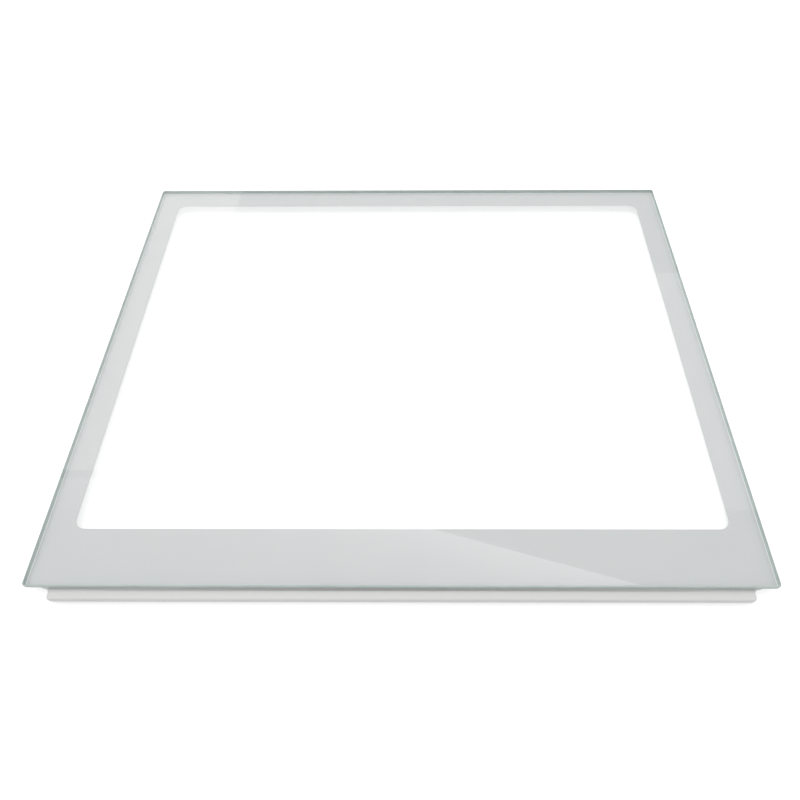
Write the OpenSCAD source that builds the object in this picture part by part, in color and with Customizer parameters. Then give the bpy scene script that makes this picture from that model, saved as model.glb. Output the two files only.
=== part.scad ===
// Refrigerator shelf: a glass panel with a border printed on its underside,
// and a moulded front trim that is taped under the front band.
// X runs along the front edge, Y from front to rear, Z up.
// The origin is the centre of the footprint, on the plane that the trim stands on.

/* [Glass panel] */
// Width of the glass, side to side
panel_w = 530; // [360:5:700]
// Depth of the glass, front to rear
panel_d = 430; // [260:5:520]
// Thickness of the glass
glass_t = 4; // [3:0.5:6]
// Radius of the glass's four corners, seen from above
corner_r = 3; // [2:0.5:12]
// Rounding ground along the glass's top and bottom edges
ground_r = 1; // [0.5:0.1:1.4]

/* [Printed border] */
// Width of the print along each side
side_band = 22; // [12:1:50]
// Width of the print along the rear edge
rear_band = 22; // [12:1:50]
// Width of the print along the front edge, over the trim
front_band = 44; // [38:1:80]
// Radius of the clear window's corners
window_r = 8; // [2:1:25]
// Bare strip between the ground edge and the print
print_margin = 0.2; // [0.1:0.1:2]
// Thickness of the printed layer
print_t = 0.2; // [0.1:0.05:0.5]

/* [Bonding tape] */
// Width of each of the two strips
tape_w = 9; // [5:0.5:12]
// Thickness of the tape, which sets the gap between print and trim
tape_t = 0.8; // [0.4:0.1:1.5]
// Distance from the tape to the edges of the trim's land
tape_inset = 2; // [1:0.5:4]

/* [Front trim: nose] */
// How far the nose stands in front of the glass
nose_reach = 8; // [6:0.5:20]
// Distance from each end of the glass to the end of the nose
nose_inset = 17; // [12:1:60]
// Height of the nose's front face
nose_h = 5; // [4.5:0.25:6]
// Rounding along the nose's upper edge
nose_top_r = 1.6; // [0.8:0.1:2]
// Rounding along the nose's lower edge
nose_low_r = 0.8; // [0.3:0.1:1]
// Radius of the nose's corners, seen from above
nose_corner_r = 3; // [2.2:0.2:5]
// Radius of the hollow where each end of the nose meets the land
root_r = 3.2; // [1:0.2:5]

/* [Front trim: body] */
// Height of the trim
trim_h = 8; // [7:0.5:14]
// Thickness of the trim's top
top_t = 2.6; // [2:0.1:3]
// Thickness of the walls that stand down from it
wall_t = 2; // [1.4:0.1:2.6]
// How far the land reaches past each end of the nose
land_overhang = 6; // [5.5:0.5:8]
// How far the land's front edge lies behind the glass's
land_setback = 0.3; // [0.1:0.1:2]
// How far the front print runs on behind the land
land_cover = 7.7; // [2:0.1:12]
// Radius of the land's corners, seen from above
land_corner_r = 2; // [1:0.5:2]
// Distance from the land's front and end edges to the skirt
skirt_inset = 3.5; // [2.5:0.5:5]

/* [Front trim: ribs] */
// Thickness of a rib at its root
rib_t = 1.8; // [1.2:0.1:2.4]
// Thickness of a rib at its lower edge
rib_tip_t = 1.4; // [0.8:0.1:2]
// Largest distance from rib to rib
rib_pitch = 42; // [20:1:80]
// How far the ribs stay above the lower edges of the walls
rib_relief = 0.8; // [0.3:0.1:1.5]

/* [Front trim: groove] */
// Width of the groove along the front edge of the glass
groove_w = 1.4; // [0.6:0.1:3]
// Depth of the groove at its middle
groove_depth = 1.4; // [0.4:0.1:1.6]
// Distance from the ends of the nose to where the groove runs out
groove_stop = 30; // [10:1:100]

/* [Hidden] */

GLASS_TINT = [0.80, 0.90, 0.88, 0.45];
PRINT_WHITE = [0.93, 0.94, 0.94];
TAPE_GREY = [0.72, 0.74, 0.75];
TRIM_WHITE = [0.96, 0.96, 0.95];

// Facets of a full circle
$fn = 48;
// Straight stretches that the groove's floor is made of
GROOVE_STEPS = 24;
// Overshoot of a cut past the face that it opens
CUT = 1;

// Places along Y: the footprint runs from the nose's front to the glass's rear edge
front_y = -(panel_d + nose_reach) / 2;
glass_front_y = front_y + nose_reach;
glass_rear_y = glass_front_y + panel_d;
glass_mid_y = (glass_front_y + glass_rear_y) / 2;
land_front_y = glass_front_y + land_setback;
land_rear_y = glass_front_y + front_band - land_cover;
skirt_front_y = land_front_y + skirt_inset;

// Places along X, each to either side of the middle
nose_half = panel_w / 2 - nose_inset;
land_half = nose_half + land_overhang;
skirt_half = land_half - skirt_inset;

// Levels
nose_low_z = trim_h - nose_h;
ceiling_z = trim_h - top_t;
print_z = trim_h + tape_t;
glass_z = print_z + print_t;

// The print keeps inside the flat of the underside
print_inset = ground_r + print_margin;

// One edge of a slab in section: x runs outward to run, y up to h
module edge_section(run, h, top_r, low_r) {
    intersection() {
        square([run, h]);
        union() {
            translate([0, low_r]) square([run, h - top_r - low_r]);
            square([run - low_r, h / 2]);
            translate([run - low_r, low_r]) circle(low_r);
            translate([0, h / 2]) square([run - top_r, h / 2]);
            translate([run - top_r, h - top_r]) circle(top_r);
        }
    }
}

module slab_section(w, h, top_r, low_r) {
    edge_section(w / 2, h, top_r, low_r);
    mirror([1, 0]) edge_section(w / 2, h, top_r, low_r);
}

// Slab with rounded corners, whose edges are rounded above and below all round
module slab(w, d, h, r, top_r, low_r) {
    rotate([90, 0, 90])
        linear_extrude(w - 2 * r, center = true) slab_section(d, h, top_r, low_r);
    rotate([90, 0, 0])
        linear_extrude(d - 2 * r, center = true) slab_section(w, h, top_r, low_r);
    for (x = [0, 1], y = [0, 1])
        mirror([x, 0, 0]) mirror([0, y, 0])
            translate([w / 2 - r, d / 2 - r, 0])
                rotate_extrude(angle = 90) edge_section(r, h, top_r, low_r);
}

module rounded_rectangle(w, d, r) {
    square([w - 2 * r, d], center = true);
    square([w, d - 2 * r], center = true);
    for (x = [-1, 1], y = [-1, 1])
        translate([x * (w / 2 - r), y * (d / 2 - r)]) circle(r);
}

// Rounded rectangle between two places along Y
module outline_between(y0, y1, half_w, r) {
    translate([0, (y0 + y1) / 2]) rounded_rectangle(2 * half_w, y1 - y0, r);
}

module glass_panel() {
    color(GLASS_TINT)
        translate([0, glass_mid_y, glass_z])
            slab(panel_w, panel_d, glass_t, corner_r, ground_r, ground_r);
}

module printed_border() {
    outer_r = max(corner_r - print_inset, print_margin);
    color(PRINT_WHITE)
        translate([0, 0, print_z]) linear_extrude(print_t) difference() {
            outline_between(glass_front_y + print_inset, glass_rear_y - print_inset,
                            panel_w / 2 - print_inset, outer_r);
            outline_between(glass_front_y + front_band, glass_rear_y - rear_band,
                            panel_w / 2 - side_band, window_r);
        }
}

module bonding_tape() {
    strip_half = land_half - tape_inset;
    front_strip_y = glass_front_y + print_inset + tape_inset;
    rear_strip_y = land_rear_y - tape_inset - tape_w;
    color(TAPE_GREY)
        for (y = [front_strip_y, rear_strip_y])
            translate([-strip_half, y, trim_h]) cube([2 * strip_half, tape_w, tape_t]);
}

// Hollow corner between an end of the nose and the land, with the nose's own edges
module nose_root() {
    web = nose_top_r + root_r / 2;
    translate([nose_half + root_r, land_front_y - root_r, nose_low_z])
        rotate([0, 0, 90]) rotate_extrude(angle = 90)
            translate([root_r + web, 0]) mirror([1, 0])
                edge_section(web, nose_h, nose_top_r, nose_low_r);
}

// The nose before it is hollowed: a slab that runs back to the skirt's front wall
module nose_block() {
    back_y = skirt_front_y + wall_t;
    translate([0, (front_y + back_y) / 2, nose_low_z])
        slab(2 * nose_half, back_y - front_y, nose_h, nose_corner_r, nose_top_r, nose_low_r);
    for (side = [0, 1]) mirror([side, 0, 0]) nose_root();
}

module land() {
    translate([0, 0, ceiling_z]) linear_extrude(top_t)
        outline_between(land_front_y, land_rear_y, land_half, land_corner_r);
}

// Wall that stands down round the land, and the room inside it
module skirt() {
    linear_extrude(trim_h - top_t / 2)
        outline_between(skirt_front_y, land_rear_y, skirt_half, land_corner_r);
}

module skirt_room() {
    translate([0, 0, -CUT]) linear_extrude(ceiling_z + CUT)
        translate([0, (skirt_front_y + land_rear_y) / 2])
            square([2 * (skirt_half - wall_t), land_rear_y - skirt_front_y - 2 * wall_t],
                   center = true);
}

// Room behind the nose's front wall
module nose_room() {
    depth = skirt_front_y - front_y - wall_t;
    translate([-(nose_half - wall_t), front_y + wall_t, -CUT])
        cube([2 * (nose_half - wall_t), depth, ceiling_z + CUT]);
}

// A rib that runs from y0 to y1 and is thinner towards its lower edge
module rib(y0, y1, low_z) {
    translate([0, y1, 0]) rotate([90, 0, 0]) linear_extrude(y1 - y0)
        polygon([[-rib_tip_t / 2, low_z], [rib_tip_t / 2, low_z],
                 [rib_t / 2, ceiling_z + CUT / 2], [-rib_t / 2, ceiling_z + CUT / 2]]);
}

module ribs() {
    run = 2 * (nose_half - wall_t);
    bays = ceil(run / rib_pitch);
    for (i = [1 : bays - 1])
        translate([-run / 2 + i * run / bays, 0, 0]) {
            rib(front_y + wall_t / 2, skirt_front_y + wall_t / 2, nose_low_z + rib_relief);
            rib(skirt_front_y + wall_t / 2, land_rear_y - wall_t / 2, rib_relief);
        }
}

// Groove before the glass's edge: deepest at its middle, running out at both ends
module groove() {
    half = nose_half - groove_stop;
    floor_points = [for (i = [0 : GROOVE_STEPS])
        let (u = 2 * i / GROOVE_STEPS - 1)
            [u * half, trim_h - groove_depth * (1 - u * u)]];
    translate([0, land_front_y, 0]) rotate([90, 0, 0]) linear_extrude(groove_w + land_setback)
        polygon(concat(floor_points, [[half, trim_h + CUT], [-half, trim_h + CUT]]));
}

module front_trim() {
    color(TRIM_WHITE) difference() {
        union() {
            difference() {
                union() {
                    nose_block();
                    land();
                    skirt();
                }
                nose_room();
                skirt_room();
            }
            ribs();
        }
        groove();
    }
}

glass_panel();
printed_border();
bonding_tape();
front_trim();
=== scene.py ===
"""Looks of a refrigerator shelf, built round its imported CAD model.

The shelf is a sheet of tempered glass with a white border fired on its underside, and a
white moulded trim that is taped under the front band. Every piece takes its place from the
CAD node that it stands for, in metres, with X along the front edge, Y from front to rear
and Z up. Sizes in the classes are millimetres.
"""

import logging
import math
from collections.abc import Sequence
from dataclasses import dataclass
from enum import Enum

import bmesh
import bpy
from mathutils import Matrix, Vector


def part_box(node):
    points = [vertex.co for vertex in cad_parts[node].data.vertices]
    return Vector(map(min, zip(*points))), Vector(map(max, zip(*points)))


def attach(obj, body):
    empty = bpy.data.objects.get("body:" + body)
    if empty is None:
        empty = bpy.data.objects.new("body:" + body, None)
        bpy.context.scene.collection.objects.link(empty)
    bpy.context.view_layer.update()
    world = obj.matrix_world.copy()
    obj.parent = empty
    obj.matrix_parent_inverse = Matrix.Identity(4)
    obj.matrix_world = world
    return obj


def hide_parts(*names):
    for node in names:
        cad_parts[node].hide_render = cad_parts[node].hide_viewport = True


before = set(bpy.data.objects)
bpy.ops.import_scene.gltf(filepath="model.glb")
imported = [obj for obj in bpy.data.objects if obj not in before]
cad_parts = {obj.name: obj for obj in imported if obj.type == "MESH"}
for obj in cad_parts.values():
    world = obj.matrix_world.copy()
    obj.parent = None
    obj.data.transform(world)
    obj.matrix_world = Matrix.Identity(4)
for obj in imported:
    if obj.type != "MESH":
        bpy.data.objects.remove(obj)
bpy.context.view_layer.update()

MM = 0.001
BODY = "root"
LOG = logging.getLogger("shelf")

Colour = tuple[float, float, float]
Socket = bpy.types.NodeSocket


# ---------------------------------------------------------------- node trees


class Sums(Enum):
    """Sums that the node trees use, by the name that Blender gives them."""

    ADD = "ADD"
    SUBTRACT = "SUBTRACT"
    MULTIPLY = "MULTIPLY"
    DIVIDE = "DIVIDE"
    POWER = "POWER"
    MINIMUM = "MINIMUM"
    MAXIMUM = "MAXIMUM"
    SINE = "SINE"
    COSINE = "COSINE"
    EXPONENT = "EXPONENT"
    GREATER = "GREATER_THAN"


class NodeSketch:
    """Adds nodes to a tree and joins them up."""

    def __init__(self, tree: bpy.types.NodeTree, value_kind: str) -> None:
        """Starts on a tree.

        Args:
            tree: The tree that the nodes go into.
            value_kind: Blender's name for the tree's math node.
        """
        self.tree = tree
        self.value_kind = value_kind

    def node(self, kind: str, inputs: dict | None = None, **settings: object) -> bpy.types.Node:
        """Adds one node.

        Args:
            kind: Blender's name for the node.
            inputs: What each input socket gets: another node's socket or a plain value.
            settings: Properties of the node itself.

        Returns:
            The new node.
        """
        node = self.tree.nodes.new(kind)
        for name, value in settings.items():
            setattr(node, name, value)
        for key, value in (inputs or {}).items():
            if isinstance(value, bpy.types.NodeSocket):
                self.tree.links.new(value, node.inputs[key])
            else:
                node.inputs[key].default_value = value
        return node

    def sum(self, how: Sums, first: Socket | float, second: Socket | float = 0.0) -> Socket:
        """Adds a math node.

        Args:
            how: Which sum it does.
            first: Its first number.
            second: Its second number, where it has one.

        Returns:
            The socket with the result.
        """
        return self.node(self.value_kind, {0: first, 1: second}, operation=how.value).outputs[0]


class ShaderSketch(NodeSketch):
    """A material's shader, built from nodes."""

    def __init__(self, name: str) -> None:
        """Makes an empty material.

        Args:
            name: The material's name.
        """
        self.material = bpy.data.materials.new(name)
        self.material.use_nodes = True
        super().__init__(self.material.node_tree, "ShaderNodeMath")
        self.tree.nodes.clear()
        self.place = self.node("ShaderNodeTexCoord").outputs["Object"]

    def noise(self, grain_mm: float, detail: float, stretch: Colour = (1.0, 1.0, 1.0)) -> Socket:
        """Adds a noise pattern in the object's own space.

        Args:
            grain_mm: Size of the pattern's blotches.
            detail: How many finer layers lie on top.
            stretch: Scale along each axis, on top of the grain.

        Returns:
            The socket with the pattern, from 0 to 1.
        """
        scale = self.node("ShaderNodeMapping", {"Vector": self.place, "Scale": stretch})
        return self.node(
            "ShaderNodeTexNoise",
            {"Vector": scale.outputs[0], "Scale": 1.0 / (grain_mm * MM), "Detail": detail},
        ).outputs["Fac"]

    def spread(self, value: Socket, low: float, high: float) -> Socket:
        """Spreads a pattern's middle part over a range.

        Args:
            value: The pattern, from 0 to 1.
            low: What its dark parts become.
            high: What its light parts become.

        Returns:
            The socket with the result.
        """
        ends = {"From Min": 0.3, "From Max": 0.7, "To Min": low, "To Max": high}
        return self.node("ShaderNodeMapRange", {"Value": value, **ends}).outputs[0]

    def tone(self, value: Socket, dark: Colour, light: Colour) -> Socket:
        """Turns a pattern into a colour between two others.

        Args:
            value: The pattern, from 0 to 1.
            dark: Colour where the pattern is low.
            light: Colour where it is high.

        Returns:
            The socket with the colour.
        """
        mix = self.node("ShaderNodeMix", {0: value}, data_type="RGBA")
        mix.inputs[6].default_value = (*dark, 1.0)
        mix.inputs[7].default_value = (*light, 1.0)
        return mix.outputs[2]

    def bump(self, height: Socket, depth_mm: float, strength: float) -> Socket:
        """Adds relief.

        Args:
            height: The relief's pattern, from 0 to 1.
            depth_mm: Its depth.
            strength: How much of it shows.

        Returns:
            The socket with the normal.
        """
        inputs = {"Height": height, "Distance": depth_mm * MM, "Strength": strength}
        return self.node("ShaderNodeBump", inputs).outputs[0]

    def seen_directly(self) -> Socket:
        """Tells the rays that see a surface, or see it mirrored or through glass, from the others.

        Returns:
            The socket with 1 for those rays and 0 for the rays that only carry light.
        """
        path = self.node("ShaderNodeLightPath").outputs
        mirrored = self.sum(Sums.MAXIMUM, path["Is Glossy Ray"], path["Is Transmission Ray"])
        return self.sum(Sums.MAXIMUM, path["Is Camera Ray"], mirrored)

    def done(self, surface: Socket) -> bpy.types.Material:
        """Ends the material.

        Args:
            surface: The shader that it shows.

        Returns:
            The finished material.
        """
        self.node("ShaderNodeOutputMaterial", {"Surface": surface})
        return self.material


class GeometrySketch(NodeSketch):
    """A Geometry Nodes tree with named inputs, and the values for them."""

    def __init__(self, name: str) -> None:
        """Makes an empty tree.

        Args:
            name: The tree's name.
        """
        super().__init__(bpy.data.node_groups.new(name, "GeometryNodeTree"), "ShaderNodeMath")
        self.values: dict[str, object] = {}
        self.entry = self.node("NodeGroupInput")
        self.tree.interface.new_socket("Geometry", in_out="OUTPUT", socket_type="NodeSocketGeometry")

    def _input(self, name: str, kind: str, value: object) -> Socket:
        """Adds a named input and notes its value.

        Args:
            name: The input's name.
            kind: Blender's name for its socket.
            value: What the modifier sets it to.

        Returns:
            The socket that carries it.
        """
        item = self.tree.interface.new_socket(name, in_out="INPUT", socket_type=kind)
        self.values[item.identifier] = value
        return self.entry.outputs[name]

    def length(self, name: str, millimetres: float) -> Socket:
        """Adds a length, which is kept in metres."""
        return self._input(name, "NodeSocketFloat", millimetres * MM)

    def count(self, name: str, number: int) -> Socket:
        """Adds a whole number."""
        return self._input(name, "NodeSocketInt", number)

    def finish_input(self, name: str, material: bpy.types.Material) -> Socket:
        """Adds a material."""
        return self._input(name, "NodeSocketMaterial", material)

    def point(self, x: Socket | float, y: Socket | float, z: Socket | float) -> Socket:
        """Joins three numbers into a point."""
        return self.node("ShaderNodeCombineXYZ", {0: x, 1: y, 2: z}).outputs[0]

    def grow(self, name: str, geometry: Socket) -> bpy.types.Object:
        """Runs the tree and keeps its result as a plain mesh.

        Args:
            name: The new object's name.
            geometry: The tree's last geometry.

        Returns:
            An object with no modifiers.
        """
        self.node("NodeGroupOutput", {0: geometry})
        made = new_object(name, bpy.data.meshes.new(name))
        modifier = made.modifiers.new(name, "NODES")
        modifier.node_group = self.tree
        for identifier, value in self.values.items():
            modifier[identifier] = value
        return settle(made)


# ---------------------------------------------------------------- meshes


def new_object(name: str, mesh: bpy.types.Mesh) -> bpy.types.Object:
    """Puts a mesh in the scene.

    Args:
        name: The object's name.
        mesh: Its mesh.

    Returns:
        The object, at the origin.
    """
    made = bpy.data.objects.new(name, mesh)
    bpy.context.scene.collection.objects.link(made)
    return made


def settle(made: bpy.types.Object) -> bpy.types.Object:
    """Turns an object's modifiers into its mesh.

    Args:
        made: The object.

    Returns:
        The same object, with a plain mesh and no modifiers.
    """
    graph = bpy.context.evaluated_depsgraph_get()
    mesh = bpy.data.meshes.new_from_object(
        made.evaluated_get(graph), preserve_all_data_layers=True, depsgraph=graph
    )
    made.modifiers.clear()
    made.data = mesh
    mesh.name = made.name
    return made


def smooth(made: bpy.types.Object, sharp_from_deg: float) -> bpy.types.Object:
    """Shades an object smooth, with flat faces left flat and sharp edges left sharp.

    Args:
        made: The object.
        sharp_from_deg: Angle between two faces from which their edge is sharp.

    Returns:
        The same object.
    """
    made.data.polygons.foreach_set("use_smooth", [True] * len(made.data.polygons))
    made.data.set_sharp_from_angle(angle=math.radians(sharp_from_deg))
    weighted = made.modifiers.new("weighted", "WEIGHTED_NORMAL")
    weighted.keep_sharp = True
    return settle(made)


@dataclass(frozen=True)
class PlanPoint:
    """A point of an outline seen from above, and the way it moves when the outline shrinks by 1."""

    x: float
    y: float
    in_x: float
    in_y: float


def corner(x: float, y: float, radius: float, start: float, end: float, steps: int,
           hollow: bool = False) -> list[PlanPoint]:
    """Makes a rounded corner of an outline, which runs anticlockwise.

    Args:
        x: Centre of the corner.
        y: Centre of the corner.
        radius: Its radius.
        start: Angle at which it starts, in degrees.
        end: Angle at which it ends.
        steps: Number of straight stretches.
        hollow: True where the centre lies outside the material.

    Returns:
        The corner's points.
    """
    side = 1.0 if hollow else -1.0
    points = []
    for i in range(steps + 1):
        turn = math.radians(start + (end - start) * i / steps)
        c, s = math.cos(turn), math.sin(turn)
        points.append(PlanPoint(x + radius * c, y + radius * s, side * c, side * s))
    return points


def rounded_rectangle(x0: float, x1: float, y0: float, y1: float, radius: float,
                      steps: int) -> list[PlanPoint]:
    """Makes a rectangle with rounded corners.

    Args:
        x0: Lowest X.
        x1: Highest X.
        y0: Lowest Y.
        y1: Highest Y.
        radius: Radius of the corners.
        steps: Straight stretches in each corner.

    Returns:
        The outline, anticlockwise.
    """
    r = radius
    return (
        corner(x1 - r, y0 + r, r, -90, 0, steps)
        + corner(x1 - r, y1 - r, r, 0, 90, steps)
        + corner(x0 + r, y1 - r, r, 90, 180, steps)
        + corner(x0 + r, y0 + r, r, 180, 270, steps)
    )


def edge_profile(z0: float, z1: float, low: float, top: float, steps: int) -> list[tuple[float, float]]:
    """Makes the section of a slab's edge.

    Args:
        z0: Level of the underside.
        z1: Level of the upper side.
        low: Rounding of the lower edge. Below 0 it flares outward, as the mouth of a hollow does.
        top: Rounding of the upper edge.
        steps: Straight stretches in each rounding.

    Returns:
        Pairs of inset and level, from the underside up.
    """
    turns = [math.pi / 2 * i / steps for i in range(steps + 1)]
    if low < 0:
        rise = -low
        profile = [(low, z0 - 1.0)]
        profile += [(low * (1 - math.sin(a)), z0 + rise * (1 - math.cos(a))) for a in turns]
    else:
        profile = [(low * (1 - math.sin(a)), z0 + low * (1 - math.cos(a))) for a in turns]
    profile += [(top * (1 - math.cos(a)), z1 - top + top * math.sin(a)) for a in turns]
    return profile


def loft(name: str, rings: Sequence[Sequence[Vector]]) -> bpy.types.Object:
    """Joins rings of points into a closed skin with a flat face at each end.

    Args:
        name: The object's name.
        rings: The rings, each with as many points, in metres.

    Returns:
        The object.
    """
    body = bmesh.new()
    rows = [[body.verts.new(p) for p in ring] for ring in rings]
    size = len(rows[0])
    for lower, upper in zip(rows, rows[1:]):
        for i in range(size):
            j = (i + 1) % size
            body.faces.new((lower[i], lower[j], upper[j], upper[i]))
    body.faces.new(list(reversed(rows[0])))
    body.faces.new(rows[-1])
    bmesh.ops.remove_doubles(body, verts=body.verts, dist=1e-7)
    bmesh.ops.dissolve_degenerate(body, edges=body.edges, dist=1e-7)
    bmesh.ops.recalc_face_normals(body, faces=body.faces)
    mesh = bpy.data.meshes.new(name)
    body.to_mesh(mesh)
    body.free()
    return new_object(name, mesh)


def slab(name: str, outline: Sequence[PlanPoint], profile: Sequence[tuple[float, float]]) -> bpy.types.Object:
    """Makes a slab of an outline whose edge follows a section all round.

    Args:
        name: The object's name.
        outline: The slab seen from above, in millimetres.
        profile: The section of its edge, from the underside up.

    Returns:
        The object.
    """
    return loft(name, [
        [Vector((p.x + p.in_x * inset, p.y + p.in_y * inset, z)) * MM for p in outline]
        for inset, z in profile
    ])


class Join(Enum):
    """How one solid is joined with another."""

    UNITE = "UNION"
    CUT = "DIFFERENCE"


def join(base: bpy.types.Object, how: Join, *others: bpy.types.Object) -> bpy.types.Object:
    """Adds solids to another or cuts them out of it, and drops them.

    Args:
        base: The solid that stays.
        how: Whether the others are added or cut out.
        others: The other solids.

    Returns:
        The first solid.
    """
    for other in others:
        modifier = base.modifiers.new("join", "BOOLEAN")
        modifier.operation = how.value
        modifier.solver = "EXACT"
        modifier.object = other
        settle(base)
        bpy.data.objects.remove(other)
    return base


def dress(made: bpy.types.Object, material: bpy.types.Material) -> bpy.types.Object:
    """Gives an object one material.

    Args:
        made: The object.
        material: The material.

    Returns:
        The same object.
    """
    made.data.materials.clear()
    made.data.materials.append(material)
    return made


def hand_over(made: bpy.types.Object, node: str) -> bpy.types.Object:
    """Makes an object a piece of the shelf that stands for a CAD node.

    Args:
        made: The object.
        node: The CAD node that it replaces.

    Returns:
        The same object.
    """
    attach(made, BODY)
    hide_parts(node)
    LOG.info("%s: %d faces, stands for %s", made.name, len(made.data.polygons), node)
    return made


# ---------------------------------------------------------------- finishes


@dataclass(frozen=True)
class ClearFace:
    """Polished face of the glass: seen through, with a mirror image that grows at a low angle."""

    tint: Colour = (0.992, 0.997, 0.995)
    head_on: float = 0.043
    polish: float = 0.012
    wiped: float = 0.03

    def material(self) -> bpy.types.Material:
        """Builds the material.

        Returns:
            The material.
        """
        sketch = ShaderSketch("clear_glass")
        through = sketch.node("ShaderNodeBsdfTransparent", {"Color": (*self.tint, 1.0)})
        wiping = sketch.noise(60.0, 3.0, (1.0, 2.5, 1.0))
        mirror = sketch.node("ShaderNodeBsdfAnisotropic", {
            "Color": (1.0, 1.0, 1.0, 1.0),
            "Roughness": sketch.spread(wiping, self.polish, self.wiped),
        })
        facing = sketch.node("ShaderNodeLayerWeight", {"Blend": 0.5}).outputs["Facing"]
        grazing = sketch.sum(Sums.POWER, facing, 5.0)
        share = sketch.sum(Sums.MULTIPLY, grazing, 1.0 - self.head_on)
        share = sketch.sum(Sums.ADD, share, self.head_on)
        inside = sketch.node("ShaderNodeNewGeometry").outputs["Backfacing"]
        outside = sketch.sum(Sums.SUBTRACT, 1.0, inside)
        share = sketch.sum(Sums.MULTIPLY, share, outside)
        mix = sketch.node("ShaderNodeMixShader", {0: share, 1: through.outputs[0], 2: mirror.outputs[0]})
        return sketch.done(mix.outputs[0])


@dataclass(frozen=True)
class GroundEdge:
    """Ground edge of the glass: frosted, with the green of thick glass."""

    dark: Colour = (0.50, 0.58, 0.56)
    light: Colour = (0.60, 0.67, 0.65)

    def material(self) -> bpy.types.Material:
        """Builds the material.

        Returns:
            The material.
        """
        sketch = ShaderSketch("ground_edge")
        streaks = sketch.noise(1.4, 4.0, (0.15, 0.15, 1.0))
        grit = sketch.noise(0.12, 2.0)
        surface = sketch.node("ShaderNodeBsdfPrincipled", {
            "Base Color": sketch.tone(sketch.spread(streaks, 0.0, 1.0), self.dark, self.light),
            "Roughness": sketch.spread(grit, 0.35, 0.6),
            "Normal": sketch.bump(grit, 0.02, 0.5),
            "IOR": 1.5,
        })
        return sketch.done(surface.outputs[0])


@dataclass(frozen=True)
class FiredPrint:
    """White enamel fired on the glass: dense and even, with the faint clouds of a screen print."""

    name: str
    dark: Colour
    light: Colour
    gloss: float
    roughness: float

    def material(self) -> bpy.types.Material:
        """Builds the material.

        Returns:
            The material.
        """
        sketch = ShaderSketch(self.name)
        clouds = sketch.noise(35.0, 4.0)
        mesh_grain = sketch.noise(0.35, 2.0)
        surface = sketch.node("ShaderNodeBsdfPrincipled", {
            "Base Color": sketch.tone(sketch.spread(clouds, 0.0, 1.0), self.dark, self.light),
            "Roughness": sketch.spread(mesh_grain, self.roughness * 0.9, self.roughness * 1.1),
            "Normal": sketch.bump(mesh_grain, 0.01, 0.3),
            "Specular IOR Level": self.gloss,
        })
        return sketch.done(surface.outputs[0])


@dataclass(frozen=True)
class MouldedWhite:
    """White moulded plastic: satin, with the fine grain of the mould and a faint flow along it."""

    dark: Colour = (0.735, 0.735, 0.727)
    light: Colour = (0.765, 0.765, 0.758)

    def material(self) -> bpy.types.Material:
        """Builds the material.

        Returns:
            The material.
        """
        sketch = ShaderSketch("white_moulding")
        flow = sketch.noise(26.0, 3.0, (0.2, 1.0, 1.0))
        grain = sketch.noise(0.16, 2.0)
        sink = sketch.noise(14.0, 1.0, (0.5, 1.0, 1.0))
        relief = sketch.bump(grain, 0.02, 0.35)
        soft = sketch.node("ShaderNodeBump", {
            "Height": sink, "Distance": 0.05 * MM, "Strength": 0.3, "Normal": relief,
        }).outputs[0]
        surface = sketch.node("ShaderNodeBsdfPrincipled", {
            "Base Color": sketch.tone(sketch.spread(flow, 0.0, 1.0), self.dark, self.light),
            "Roughness": sketch.spread(grain, 0.3, 0.42),
            "Normal": soft,
        })
        return sketch.done(surface.outputs[0])


@dataclass(frozen=True)
class FoamTape:
    """Grey closed-cell foam tape."""

    dark: Colour = (0.50, 0.52, 0.53)
    light: Colour = (0.64, 0.66, 0.67)

    def material(self) -> bpy.types.Material:
        """Builds the material.

        Returns:
            The material.
        """
        sketch = ShaderSketch("grey_tape")
        cells = sketch.node("ShaderNodeTexVoronoi", {
            "Vector": sketch.place, "Scale": 1.0 / (0.45 * MM),
        }).outputs["Distance"]
        surface = sketch.node("ShaderNodeBsdfPrincipled", {
            "Base Color": sketch.tone(cells, self.dark, self.light),
            "Roughness": 0.85,
            "Normal": sketch.bump(cells, 0.12, 0.8),
        })
        return sketch.done(surface.outputs[0])


# ---------------------------------------------------------------- the shelf's pieces


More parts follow.
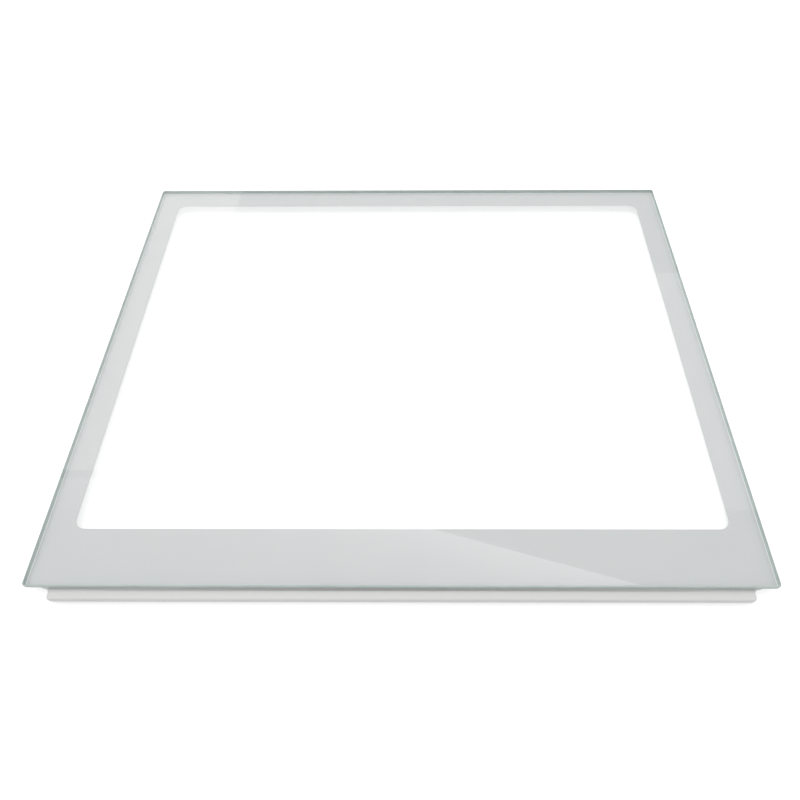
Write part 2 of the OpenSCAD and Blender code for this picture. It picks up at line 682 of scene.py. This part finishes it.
@dataclass
class GlassPanel:
    """The sheet of glass: two polished faces and an edge ground round all the way."""

    node: str = "glass_panel"
    corner_r: float = 3.0
    ground_r: float = 1.0
    corner_steps: int = 12
    edge_steps: int = 8

    def build(self) -> bpy.types.Object:
        """Sweeps the edge's section round the outline, then closes both faces.

        Returns:
            The finished piece.
        """
        low, high = (corner_point / MM for corner_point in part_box(self.node))
        size, centre = high - low, (high + low) / 2
        g = GeometrySketch("ground_panel")
        width, depth = g.length("Width", size.x), g.length("Depth", size.y)
        thickness = g.length("Thickness", size.z)
        corner_r = g.length("Corner Radius", self.corner_r)
        ground_r = g.length("Ground Radius", self.ground_r)
        centre_x, centre_y = g.length("Centre X", centre.x), g.length("Centre Y", centre.y)
        base = g.length("Base Level", low.z)
        corner_steps = g.count("Corner Steps", self.corner_steps)
        edge_steps = g.count("Edge Steps", self.edge_steps)
        face = g.finish_input("Face Finish", ClearFace().material())
        edge = g.finish_input("Edge Finish", GroundEdge().material())

        outline = g.node("GeometryNodeCurvePrimitiveQuadrilateral",
                         {"Width": width, "Height": depth}, mode="RECTANGLE")
        outline = g.node("GeometryNodeFilletCurve", {
            "Curve": outline.outputs[0], "Count": corner_steps, "Radius": corner_r, "Limit Radius": True,
        }, mode="POLY")
        outline = g.node("GeometryNodeSetCurveNormal", {"Curve": outline.outputs[0]}, mode="Z_UP")
        ring = g.node("GeometryNodeCurveToMesh", {
            "Curve": outline.outputs[0],
            "Profile Curve": self._section(g, thickness, ground_r, edge_steps),
        })
        ring = g.node("GeometryNodeSetMaterial", {"Geometry": ring.outputs[0], "Material": edge})
        skin = g.node("GeometryNodeJoinGeometry")
        g.tree.links.new(ring.outputs[0], skin.inputs[0])
        for cap in self._caps(g, ring.outputs[0], thickness, face):
            g.tree.links.new(cap, skin.inputs[0])
        whole = g.node("GeometryNodeMergeByDistance", {"Geometry": skin.outputs[0], "Distance": 1e-5})
        placed = g.node("GeometryNodeTransform", {
            "Geometry": whole.outputs[0], "Translation": g.point(centre_x, centre_y, base),
        })
        real = g.node("GeometryNodeRealizeInstances", {0: placed.outputs[0]})
        made = smooth(g.grow("glass_sheet", real.outputs[0]), 60.0)
        return hand_over(made, self.node)

    def _section(self, g: GeometrySketch, thickness: Socket, radius: Socket, steps: Socket) -> Socket:
        """Makes the edge's section: a quarter round, a flat and a quarter round.

        Args:
            g: The tree.
            thickness: The glass's thickness.
            radius: Radius of both rounds.
            steps: Straight stretches in each round.

        Returns:
            The section as a curve, with X outward and Y down.
        """
        half = g.sum(Sums.ADD, steps, 1.0)
        points = g.node("GeometryNodeMeshLine", {"Count": g.sum(Sums.MULTIPLY, half, 2.0)})
        index = g.node("GeometryNodeInputIndex").outputs[0]
        first = g.sum(Sums.MINIMUM, index, steps)
        second = g.sum(Sums.MAXIMUM, g.sum(Sums.SUBTRACT, index, half), 0.0)
        turn = g.sum(Sums.DIVIDE, g.sum(Sums.ADD, first, second), steps)
        turn = g.sum(Sums.MULTIPLY, g.sum(Sums.SUBTRACT, turn, 1.0), math.pi / 2)
        out = g.sum(Sums.MULTIPLY, radius, g.sum(Sums.SUBTRACT, g.sum(Sums.COSINE, turn), 1.0))
        rise = g.sum(Sums.MULTIPLY, radius, g.sum(Sums.ADD, g.sum(Sums.SINE, turn), 1.0))
        upper = g.sum(Sums.GREATER, index, g.sum(Sums.ADD, steps, 0.5))
        flat = g.sum(Sums.SUBTRACT, thickness, g.sum(Sums.MULTIPLY, radius, 2.0))
        rise = g.sum(Sums.ADD, rise, g.sum(Sums.MULTIPLY, upper, flat))
        down = g.sum(Sums.MULTIPLY, rise, -1.0)
        placed = g.node("GeometryNodeSetPosition", {
            "Geometry": points.outputs[0], "Position": g.point(out, down, 0.0),
        })
        return g.node("GeometryNodeMeshToCurve", {"Mesh": placed.outputs[0]}).outputs[0]

    def _caps(self, g: GeometrySketch, ring: Socket, thickness: Socket, face: Socket) -> list[Socket]:
        """Closes the ring's two open ends with the polished faces.

        Args:
            g: The tree.
            ring: The swept edge.
            thickness: The glass's thickness.
            face: The polished finish.

        Returns:
            The upper and the lower face.
        """
        count = g.node("GeometryNodeInputMeshEdgeNeighbors").outputs[0]
        rim = g.sum(Sums.SUBTRACT, 2.0, count)
        level = g.node("ShaderNodeSeparateXYZ", {0: g.node("GeometryNodeInputPosition").outputs[0]}).outputs[2]
        upper = g.sum(Sums.GREATER, level, g.sum(Sums.DIVIDE, thickness, 2.0))
        caps = []
        for chosen, height, turned in ((upper, thickness, False), (g.sum(Sums.SUBTRACT, 1.0, upper), 0.0, True)):
            loop = g.node("GeometryNodeMeshToCurve", {
                "Mesh": ring, "Selection": g.sum(Sums.GREATER, g.sum(Sums.MULTIPLY, rim, chosen), 0.5),
            })
            cap = g.node("GeometryNodeFillCurve", {"Curve": loop.outputs[0]}, mode="NGONS").outputs[0]
            if turned:
                cap = g.node("GeometryNodeFlipFaces", {"Mesh": cap}).outputs[0]
            cap = g.node("GeometryNodeTransform", {"Geometry": cap, "Translation": g.point(0.0, 0.0, height)})
            cap = g.node("GeometryNodeSetMaterial", {"Geometry": cap.outputs[0], "Material": face})
            caps.append(cap.outputs[0])
        return caps


@dataclass
class PrintedBorder:
    """The white print round the clear window. It lies a hair below the glass, so that the two don't share a face."""

    node: str = "printed_border"
    side_band: float = 22.0
    rear_band: float = 22.0
    front_band: float = 44.0
    window_r: float = 8.0
    margin: float = 1.2
    outer_r: float = 1.8
    hair: float = 0.03
    corner_steps: int = 16

    def build(self) -> bpy.types.Object:
        """Joins the outer and the window's outline into a flat ring with two finishes.

        Returns:
            The finished piece.
        """
        low, high = (corner_point / MM for corner_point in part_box(self.node))
        steps, m = self.corner_steps, self.margin
        outer = rounded_rectangle(low.x, high.x, low.y, high.y, self.outer_r, steps)
        window = rounded_rectangle(
            low.x - m + self.side_band, high.x + m - self.side_band,
            low.y - m + self.front_band, high.y + m - self.rear_band, self.window_r, steps,
        )
        levels = (low.z, high.z - self.hair)
        body = bmesh.new()
        rows = [
            [body.verts.new(Vector((p.x, p.y, z)) * MM) for p in outline]
            for outline, z in ((outer, levels[0]), (outer, levels[1]), (window, levels[1]), (window, levels[0]))
        ]
        size = len(outer)
        for k, row in enumerate(rows):
            following = rows[(k + 1) % len(rows)]
            for i in range(size):
                j = (i + 1) % size
                face = body.faces.new((row[i], row[j], following[j], following[i]))
                face.material_index = 0 if k == 1 else 1
        bmesh.ops.recalc_face_normals(body, faces=body.faces)
        mesh = bpy.data.meshes.new("border_print")
        body.to_mesh(mesh)
        body.free()
        made = new_object("border_print", mesh)
        mesh.materials.append(FiredPrint("print_behind_glass", (0.690, 0.696, 0.704),
                                         (0.706, 0.710, 0.716), 0.0, 0.9).material())
        mesh.materials.append(FiredPrint("print_bare_side", (0.690, 0.694, 0.700),
                                         (0.706, 0.708, 0.712), 0.5, 0.35).material())
        return hand_over(smooth(made, 30.0), self.node)


@dataclass
class BondingTape:
    """The two strips of foam tape between the print and the trim, squeezed out a little along their edges."""

    node: str = "bonding_tape"
    strip_w: float = 9.0
    swell: float = 0.35
    corner_r: float = 0.6
    steps: int = 5

    def build(self) -> bpy.types.Object:
        """Makes both strips as one piece.

        Returns:
            The finished piece.
        """
        low, high = (corner_point / MM for corner_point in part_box(self.node))
        strips = []
        for number, front in enumerate((low.y, high.y - self.strip_w)):
            outline = rounded_rectangle(low.x, high.x, front, front + self.strip_w, self.corner_r, self.steps)
            profile = edge_profile(low.z, high.z, self.swell, self.swell, self.steps)
            strips.append(slab(f"tape_{number}", outline, profile))
        both = join(strips[0], Join.UNITE, strips[1])
        both.name = "foam_tape"
        dress(both, FoamTape().material())
        return hand_over(smooth(both, 40.0), self.node)


@dataclass
class FrontTrim:
    """The moulded trim: a rounded nose, a land under the glass, and walls that stand down round it."""

    node: str = "front_trim"
    nose_inset: float = 6.0
    nose_h: float = 5.0
    nose_top_r: float = 1.6
    nose_low_r: float = 0.8
    nose_corner_r: float = 3.0
    root_r: float = 3.2
    nose_reach: float = 8.0
    setback: float = 0.3
    top_t: float = 2.6
    wall_t: float = 2.0
    land_corner_r: float = 2.0
    skirt_inset: float = 3.5
    groove_w: float = 1.4
    groove_depth: float = 1.4
    groove_stop: float = 30.0
    soft: float = 0.3
    fillet: float = 0.6

    def __post_init__(self) -> None:
        """Takes the trim's places from its CAD node."""
        self.low, self.high = (corner_point / MM for corner_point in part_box(self.node))
        self.front = self.low.y
        self.rear = self.high.y
        self.top = self.high.z
        self.land_half = self.high.x
        self.nose_half = self.land_half - self.nose_inset
        self.land_front = self.front + self.nose_reach + self.setback
        self.skirt_front = self.land_front + self.skirt_inset
        self.skirt_half = self.land_half - self.skirt_inset
        self.ceiling = self.top - self.top_t
        self.nose_low = self.top - self.nose_h

    def build(self) -> list[bpy.types.Object]:
        """Makes the moulding, its ribs and the marks of its ejector pins.

        Returns:
            The finished pieces.
        """
        finish = MouldedWhite().material()
        body = join(self._nose(), Join.CUT, self._nose_room())
        body = join(body, Join.UNITE, self._land(), self._skirt())
        body = join(body, Join.CUT, self._skirt_room(), self._groove())
        body.name = "trim_moulding"
        dress(body, finish)
        pieces = [smooth(body, 32.0), *self._ribs(finish), self._ejector_marks(finish)]
        return [hand_over(piece, self.node) for piece in pieces]

    def _nose(self) -> bpy.types.Object:
        """Makes the nose with its hollow roots, and a tongue that reaches into the skirt."""
        half, r, root = self.nose_half, self.nose_corner_r, self.root_r
        back = self.skirt_front + self.wall_t / 2
        root_y = self.land_front - root
        tongue = half + root - 1.2
        right = (
            corner(half - r, self.front + r, r, -90, 0, 12)
            + corner(half + root, root_y, root, 180, 90, 12, hollow=True)
            + [PlanPoint(half + root, self.land_front + 1.0, -1.0, 0.0), PlanPoint(tongue, back, -1.0, -1.0)]
        )
        left = [PlanPoint(-p.x, p.y, -p.in_x, p.in_y) for p in reversed(right)]
        profile = edge_profile(self.nose_low, self.top, self.nose_low_r, self.nose_top_r, 8)
        return slab("nose", right + left, profile)

    def _land(self) -> bpy.types.Object:
        """Makes the land, a plate that carries the tape."""
        outline = rounded_rectangle(-self.land_half, self.land_half, self.land_front, self.rear,
                                    self.land_corner_r, 8)
        return slab("land", outline, edge_profile(self.ceiling, self.top, self.soft, self.soft, 4))

    def _skirt(self) -> bpy.types.Object:
        """Makes the block that the skirt's wall is left of."""
        outline = rounded_rectangle(-self.skirt_half, self.skirt_half, self.skirt_front, self.rear,
                                    self.land_corner_r, 8)
        return slab("skirt", outline, edge_profile(self.low.z, self.ceiling + 1.0, self.soft, 0.0, 4))

    def _nose_room(self) -> bpy.types.Object:
        """Makes the hollow behind the nose's front wall, which runs on into the skirt's wall."""
        half = self.nose_half - self.wall_t
        outline = rounded_rectangle(-half, half, self.front + self.wall_t, self.skirt_front + self.wall_t + 1.0,
                                    self.fillet, 4)
        profile = edge_profile(self.nose_low, self.ceiling, -self.soft, self.fillet, 5)
        return slab("nose_room", outline, profile)

    def _skirt_room(self) -> bpy.types.Object:
        """Makes the hollow inside the skirt."""
        half = self.skirt_half - self.wall_t
        outline = rounded_rectangle(-half, half, self.skirt_front + self.wall_t, self.rear - self.wall_t,
                                    self.fillet, 4)
        profile = edge_profile(self.low.z, self.ceiling, -self.soft, self.fillet, 5)
        return slab("skirt_room", outline, profile)

    def _groove(self) -> bpy.types.Object:
        """Makes the groove along the front edge of the glass, which runs out at both ends."""
        half = self.nose_half - self.groove_stop
        y0, y1 = self.land_front - self.groove_w - self.setback, self.land_front
        r = 0.45
        rings = []
        stations = 96
        for i in range(stations + 1):
            u = 1.03 * (2 * i / stations - 1)
            floor = self.top - self.groove_depth * (1 - u * u)
            section = [(y0, self.top + 2.0), (y0, floor + r)]
            section += [(y0 + r * (1 - math.cos(a)), floor + r * (1 - math.sin(a)))
                        for a in (math.pi / 8 * k for k in range(1, 5))]
            section += [(y1 - r * (1 - math.sin(a)), floor + r * (1 - math.cos(a)))
                        for a in (math.pi / 8 * k for k in range(0, 5))]
            section += [(y1, self.top + 2.0)]
            rings.append([Vector((u * half, y, z)) * MM for y, z in section])
        return loft("groove", rings)

    def _ribs(self, finish: bpy.types.Material) -> list[bpy.types.Object]:
        """Makes the two rows of ribs under the moulding.

        Args:
            finish: The moulding's material.

        Returns:
            The row behind the nose's front wall and the row inside the skirt.
        """
        run = 2 * (self.nose_half - self.wall_t)
        rows = (
            RibRow("nose_ribs", self.front + self.wall_t / 2, self.skirt_front + self.wall_t / 2,
                   self.nose_low + 0.8, self.ceiling + 0.8, run),
            RibRow("skirt_ribs", self.skirt_front + self.wall_t / 2, self.rear - self.wall_t / 2,
                   self.low.z + 0.8, self.ceiling + 0.8, run),
        )
        return [row.build(finish) for row in rows]

    def _ejector_marks(self, finish: bpy.types.Material) -> bpy.types.Object:
        """Makes the round marks that the mould's ejector pins leave between the ribs.

        Args:
            finish: The moulding's material.

        Returns:
            The marks as one piece.
        """
        run = 2 * (self.nose_half - self.wall_t)
        bays = math.ceil(run / 42.0)
        g = GeometrySketch("ejector_marks")
        number = g.count("Count", bays)
        pitch = g.length("Pitch", run / bays)
        first = g.length("First", -run / 2 + run / bays / 2)
        y = g.length("Y", (self.skirt_front + self.rear + self.wall_t) / 2)
        level = g.length("Level", self.ceiling)
        radius = g.length("Pin Radius", 2.5)
        material = g.finish_input("Finish", finish)
        line = g.node("GeometryNodeMeshLine", {
            "Count": number, "Start Location": g.point(first, y, level), "Offset": g.point(pitch, 0.0, 0.0),
        })
        pin = g.node("GeometryNodeMeshCylinder", {"Vertices": 32, "Radius": radius, "Depth": 0.24 * MM})
        marks = g.node("GeometryNodeInstanceOnPoints", {"Points": line.outputs[0], "Instance": pin.outputs[0]})
        real = g.node("GeometryNodeRealizeInstances", {0: marks.outputs[0]})
        made = g.node("GeometryNodeSetMaterial", {"Geometry": real.outputs[0], "Material": material})
        return smooth(g.grow("ejector_marks", made.outputs[0]), 40.0)


@dataclass
class RibRow:
    """A row of ribs across the moulding, each thinner towards its lower edge."""

    name: str
    front: float
    rear: float
    low: float
    high: float
    run: float
    pitch: float = 42.0
    root_t: float = 1.8
    tip_t: float = 1.4
    tip_r: float = 0.4

    def build(self, finish: bpy.types.Material) -> bpy.types.Object:
        """Sweeps a rib's section from wall to wall and repeats it.

        Args:
            finish: The moulding's material.

        Returns:
            The row as one mesh.
        """
        bays = math.ceil(self.run / self.pitch)
        g = GeometrySketch(self.name)
        number = g.count("Count", bays - 1)
        pitch = g.length("Pitch", self.run / bays)
        first = g.length("First", -self.run / 2 + self.run / bays)
        front, rear = g.length("Front", self.front), g.length("Rear", self.rear)
        low, high = g.length("Lower Edge", self.low), g.length("Root", self.high)
        root, tip = g.length("Root Thickness", self.root_t), g.length("Tip Thickness", self.tip_t)
        tip_r = g.length("Tip Radius", self.tip_r)
        material = g.finish_input("Finish", finish)
        height = g.sum(Sums.SUBTRACT, high, low)
        section = g.node("GeometryNodeCurvePrimitiveQuadrilateral", {
            "Bottom Width": root, "Top Width": tip, "Height": height, "Offset": 0.0,
        }, mode="TRAPEZOID")
        section = g.node("GeometryNodeFilletCurve", {
            "Curve": section.outputs[0], "Count": 4, "Radius": tip_r, "Limit Radius": True,
        }, mode="POLY")
        axis = g.node("GeometryNodeCurvePrimitiveLine", {
            "Start": g.point(0.0, front, 0.0), "End": g.point(0.0, rear, 0.0),
        })
        axis = g.node("GeometryNodeSetCurveNormal", {"Curve": axis.outputs[0]}, mode="Z_UP")
        rib = g.node("GeometryNodeCurveToMesh", {
            "Curve": axis.outputs[0], "Profile Curve": section.outputs[0], "Fill Caps": True,
        })
        middle = g.sum(Sums.DIVIDE, g.sum(Sums.ADD, high, low), 2.0)
        line = g.node("GeometryNodeMeshLine", {
            "Count": number, "Start Location": g.point(first, 0.0, middle), "Offset": g.point(pitch, 0.0, 0.0),
        })
        row = g.node("GeometryNodeInstanceOnPoints", {"Points": line.outputs[0], "Instance": rib.outputs[0]})
        real = g.node("GeometryNodeRealizeInstances", {0: row.outputs[0]})
        made = g.node("GeometryNodeSetMaterial", {"Geometry": real.outputs[0], "Material": material})
        return smooth(g.grow(self.name, made.outputs[0]), 40.0)


# ---------------------------------------------------------------- the studio


@dataclass
class SoftBox:
    """A glowing card above the shelf, which the glass mirrors. It is brightest along its rear edge."""

    name: str
    corners: tuple[tuple[float, float], ...]
    glow: float
    fade_mm: float
    tint: Colour = (1.0, 1.0, 1.0)
    height: float = 1500.0

    def build(self) -> bpy.types.Object:
        """Makes the card.

        Returns:
            The card, which the camera doesn't see.
        """
        points = [Vector((x, y, self.height)) * MM for x, y in self.corners]
        mesh = bpy.data.meshes.new(self.name)
        mesh.from_pydata(points, [], [tuple(range(len(points)))])
        card = new_object(self.name, mesh)
        dress(card, self._light(points))
        card.visible_camera = False
        card.visible_shadow = False
        return card

    def _light(self, points: list[Vector]) -> bpy.types.Material:
        """Makes the glow, which fades with the distance from the first edge.

        Args:
            points: The card's corners, in metres.

        Returns:
            The material.
        """
        sketch = ShaderSketch(self.name)
        along = (points[1] - points[0]).normalized()
        across = Vector((0, 0, 1)).cross(along)
        away = sketch.node("ShaderNodeVectorMath", {0: sketch.place, 1: points[0]}, operation="SUBTRACT")
        away = sketch.node("ShaderNodeVectorMath", {0: away.outputs[0], 1: across}, operation="DOT_PRODUCT")
        fall = sketch.sum(Sums.MULTIPLY, away.outputs["Value"], -1.0 / (self.fade_mm * MM))
        glow = sketch.sum(Sums.MULTIPLY, sketch.sum(Sums.EXPONENT, fall), self.glow)
        light = sketch.node("ShaderNodeEmission", {
            "Color": (*self.tint, 1.0), "Strength": sketch.sum(Sums.ADD, glow, 1.0),
        })
        return sketch.done(light.outputs[0])


@dataclass
class Studio:
    """A pale floor, soft light from all round and above, and the camera of the photograph."""

    focal_px: float = 617.5
    centre_px: float = 415.9
    frame_px: float = 800.0
    pitch: float = 56.158
    yaw: float = -0.685
    roll: float = -0.582
    place: Colour = (13.9, -342.0, 441.3)
    dome: float = 0.6
    floor_glow: float = 0.55
    floor_colour: Colour = (0.8, 0.8, 0.8)
    key_power: float = 9.0

    def build(self) -> None:
        """Makes the floor, the light and the camera."""
        bpy.context.scene.view_settings.view_transform = "Standard"
        self._camera()
        self._floor()
        self._world()
        self._key()
        SoftBox("ceiling_card", ((696.0, 251.0), (128.0, 413.0), (-600.0, 620.0), (-1500.0, 620.0),
                                 (-1500.0, -300.0), (900.0, -300.0), (1150.0, 121.0)), 2.0, 150.0).build()
        SoftBox("left_card", ((-1300.0, 650.0), (-850.0, 650.0), (-850.0, 2300.0), (-1300.0, 2300.0)),
                1.2, 1e6, (1.0, 0.99, 0.97)).build()
        SoftBox("right_card", ((900.0, 500.0), (1300.0, 500.0), (1300.0, 1600.0), (900.0, 1600.0)),
                0.8, 1e6).build()

    def _camera(self) -> None:
        """Sets the camera where the photograph's perspective puts it."""
        pitch, yaw, roll = (math.radians(a) for a in (self.pitch, self.yaw, self.roll))
        ahead = Vector((math.sin(yaw) * math.cos(pitch), math.cos(yaw) * math.cos(pitch), -math.sin(pitch)))
        right = Vector((math.cos(yaw), -math.sin(yaw), 0.0))
        up = right.cross(ahead)
        side = right * math.cos(roll) + up * math.sin(roll)
        top = up * math.cos(roll) - right * math.sin(roll)
        camera = bpy.data.objects.new("camera", bpy.data.cameras.new("camera"))
        bpy.context.scene.collection.objects.link(camera)
        turn = Matrix((side, top, -ahead)).transposed().to_4x4()
        camera.matrix_world = Matrix.Translation(Vector(self.place) * MM) @ turn
        camera.data.sensor_width = 36.0
        camera.data.lens = self.focal_px / self.frame_px * 36.0
        camera.data.shift_x = -(self.centre_px / self.frame_px - 0.5)
        camera.data.clip_start, camera.data.clip_end = 0.01, 60.0
        bpy.context.scene.camera = camera

    def _floor(self) -> None:
        """Makes the floor, which looks white where light falls on it and keeps the shelf's shadow."""
        span = 12.0
        mesh = bpy.data.meshes.new("floor")
        mesh.from_pydata([(-span, -span, 0), (span, -span, 0), (span, span, 0), (-span, span, 0)], [],
                         [(0, 1, 2, 3)])
        floor = new_object("floor", mesh)
        sketch = ShaderSketch("floor")
        matt = sketch.node("ShaderNodeBsdfDiffuse", {"Color": (*self.floor_colour, 1.0)})
        glow = sketch.node("ShaderNodeEmission", {
            "Strength": sketch.sum(Sums.MULTIPLY, sketch.seen_directly(), self.floor_glow),
        })
        both = sketch.node("ShaderNodeAddShader", {0: matt.outputs[0], 1: glow.outputs[0]})
        dress(floor, sketch.done(both.outputs[0]))

    def _world(self) -> None:
        """Makes a dome that is white to look at and softer as a light."""
        world = bpy.data.worlds.new("studio")
        world.use_nodes = True
        bpy.context.scene.world = world
        sketch = NodeSketch(world.node_tree, "ShaderNodeMath")
        sketch.tree.nodes.clear()
        path = sketch.node("ShaderNodeLightPath").outputs
        seen = sketch.sum(Sums.MAXIMUM, path["Is Glossy Ray"], path["Is Transmission Ray"])
        seen = sketch.sum(Sums.MAXIMUM, path["Is Camera Ray"], seen)
        strength = sketch.sum(Sums.ADD, sketch.sum(Sums.MULTIPLY, seen, 1.0 - self.dome), self.dome)
        light = sketch.node("ShaderNodeBackground", {"Color": (1.0, 1.0, 1.0, 1.0), "Strength": strength})
        sketch.node("ShaderNodeOutputWorld", {"Surface": light.outputs[0]})

    def _key(self) -> None:
        """Hangs one broad soft lamp over the shelf, a little to the left and the rear."""
        lamp = bpy.data.lights.new("key", "AREA")
        lamp.shape = "SQUARE"
        lamp.size = 1.4
        lamp.energy = self.key_power
        key = bpy.data.objects.new("key", lamp)
        bpy.context.scene.collection.objects.link(key)
        key.location = (-0.35, 0.3, 1.6)
        key.rotation_euler = (Vector((0, 0, 0)) - key.location).to_track_quat("-Z", "Y").to_euler()
        key.visible_glossy = False


def main() -> None:
    """Builds the studio and the shelf's pieces in order."""
    logging.basicConfig(level=logging.INFO, format="%(name)s %(message)s")
    Studio().build()
    GlassPanel().build()
    PrintedBorder().build()
    BondingTape().build()
    FrontTrim().build()


if __name__ == "__main__":
    main()
